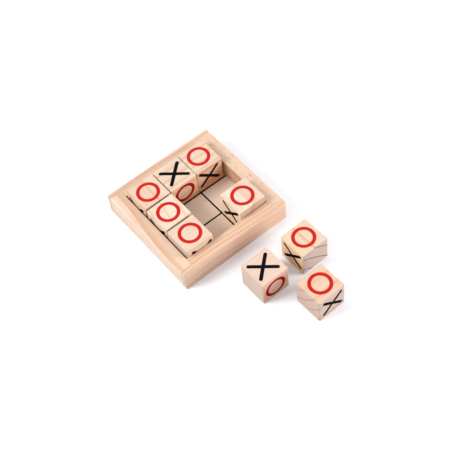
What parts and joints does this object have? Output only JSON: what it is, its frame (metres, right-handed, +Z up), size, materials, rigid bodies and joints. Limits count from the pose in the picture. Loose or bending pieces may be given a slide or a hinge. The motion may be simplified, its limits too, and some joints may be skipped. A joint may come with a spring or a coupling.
{
  "type": "tic tac toe set",
  "caption": "Square wooden tray with a lined base board and loose wooden cubes printed with noughts and crosses, which are set out in the tray to play.",
  "frame": {"origin": "centre of the tray's underside, on the surface that the set stands on", "axes": "+Z up, +X towards the tray's right rail, +Y towards its far rail; the loose cubes lie on the -Y side"},
  "size_m": [0.1234, 0.2314, 0.0329],
  "materials": {
    "rail_wood": "bare sanded pine with straight grain",
    "board_wood": "bare thin plywood, greyish tan",
    "cube_wood": "bare sanded pine, end grain on two faces of each cube",
    "red_print": "red printed ring, satin ink",
    "black_print": "black printed cross and grid lines, satin ink"
  },
  "bodies": {
    "tray": {"far_rail": "rail_wood", "near_rail": "rail_wood", "right_rail": "rail_wood", "left_rail": "rail_wood", "base_board": "board_wood"},
    "cube_far_left": {"cube_far_left": "cube_wood"},
    "cube_far_middle": {"cube_far_middle": "cube_wood"},
    "cube_far_right": {"cube_far_right": "cube_wood"},
    "cube_middle_left": {"cube_middle_left": "cube_wood"},
    "cube_near_left": {"cube_near_left": "cube_wood"},
    "cube_near_right": {"cube_near_right": "cube_wood"},
    "cube_table_left": {"cube_table_left": "cube_wood"},
    "cube_table_right": {"cube_table_right": "cube_wood"},
    "cube_table_front": {"cube_table_front": "cube_wood"}
  },
  "joints": [
    {"name": "far_left_lift", "type": "slide", "parent": "tray", "child": "cube_far_left", "axis": [0, 0, 1], "range_m": [0, 0.05]},
    {"name": "far_middle_lift", "type": "slide", "parent": "tray", "child": "cube_far_middle", "axis": [0, 0, 1], "range_m": [0, 0.05]},
    {"name": "far_right_lift", "type": "slide", "parent": "tray", "child": "cube_far_right", "axis": [0, 0, 1], "range_m": [0, 0.05]},
    {"name": "middle_left_lift", "type": "slide", "parent": "tray", "child": "cube_middle_left", "axis": [0, 0, 1], "range_m": [0, 0.05]},
    {"name": "near_left_lift", "type": "slide", "parent": "tray", "child": "cube_near_left", "axis": [0, 0, 1], "range_m": [0, 0.05]},
    {"name": "near_right_lift", "type": "slide", "parent": "tray", "child": "cube_near_right", "axis": [0, 0, 1], "range_m": [0, 0.05]},
    {"name": "table_left_lift", "type": "slide", "parent": "tray", "child": "cube_table_left", "axis": [0, 0, 1], "range_m": [0, 0.05]},
    {"name": "table_right_lift", "type": "slide", "parent": "tray", "child": "cube_table_right", "axis": [0, 0, 1], "range_m": [0, 0.05]},
    {"name": "table_front_lift", "type": "slide", "parent": "tray", "child": "cube_table_front", "axis": [0, 0, 1], "range_m": [0, 0.05]}
  ]
}
